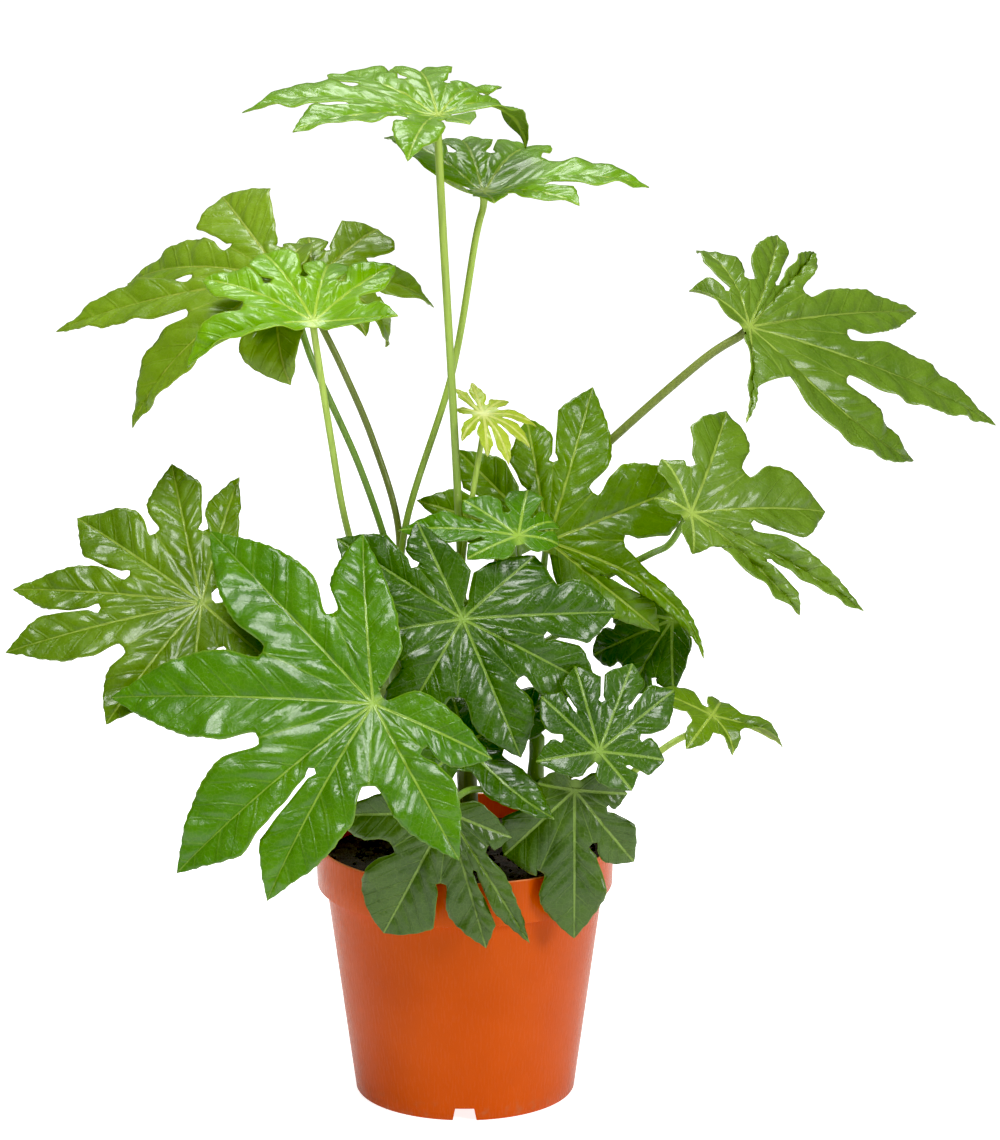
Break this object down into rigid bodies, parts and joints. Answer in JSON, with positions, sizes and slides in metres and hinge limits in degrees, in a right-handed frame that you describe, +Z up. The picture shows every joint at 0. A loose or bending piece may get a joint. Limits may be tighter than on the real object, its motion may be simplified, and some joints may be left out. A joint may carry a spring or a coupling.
{
  "type": "potted fatsia",
  "caption": "Leafy house plant with large hand-shaped lobed leaves on long stalks, growing in a round tapered nursery pot with a rolled collar.",
  "frame": {"origin": "middle of the whole plant's bounding box in plan, at the height of the surface that the pot stands on", "axes": "+Z up along the pot's axis, -Y towards the front of the plant as pictured, +X to the viewer's right"},
  "size_m": [0.6329, 0.3256, 0.6557],
  "materials": {
    "pot": "semi-gloss terracotta-orange plastic",
    "soil": "dark matt potting compost",
    "stem": "smooth green stalk",
    "leaf": "glossy mid-green leaf with paler veins",
    "bright": "glossy fresh green leaf with paler veins",
    "dark": "glossy dark green leaf with paler veins",
    "young": "soft lime-yellow young leaf"
  },
  "bodies": {
    "root": {"pot": "pot", "soil": "soil", "shoot_left": "stem", "shoot_centre": "stem", "shoot_right": "stem", "leaf_top": "bright", "leaf_top_right": "bright", "leaf_cluster_front": "bright", "leaf_cluster_left": "leaf", "leaf_cluster_right": "leaf", "leaf_young": "young", "leaf_right_high": "leaf", "leaf_right_mid": "leaf", "leaf_back_centre": "bright", "leaf_small_arched": "leaf", "leaf_centre": "dark", "leaf_front_left": "leaf", "leaf_left": "leaf", "leaf_small_glossy": "dark", "leaf_over_rim_right": "dark", "leaf_over_rim_left": "dark", "leaf_inner_dark": "dark", "leaf_right_dark": "dark", "leaf_right_low": "bright", "leaf_rear_left": "leaf"}
  },
  "joints": []
}
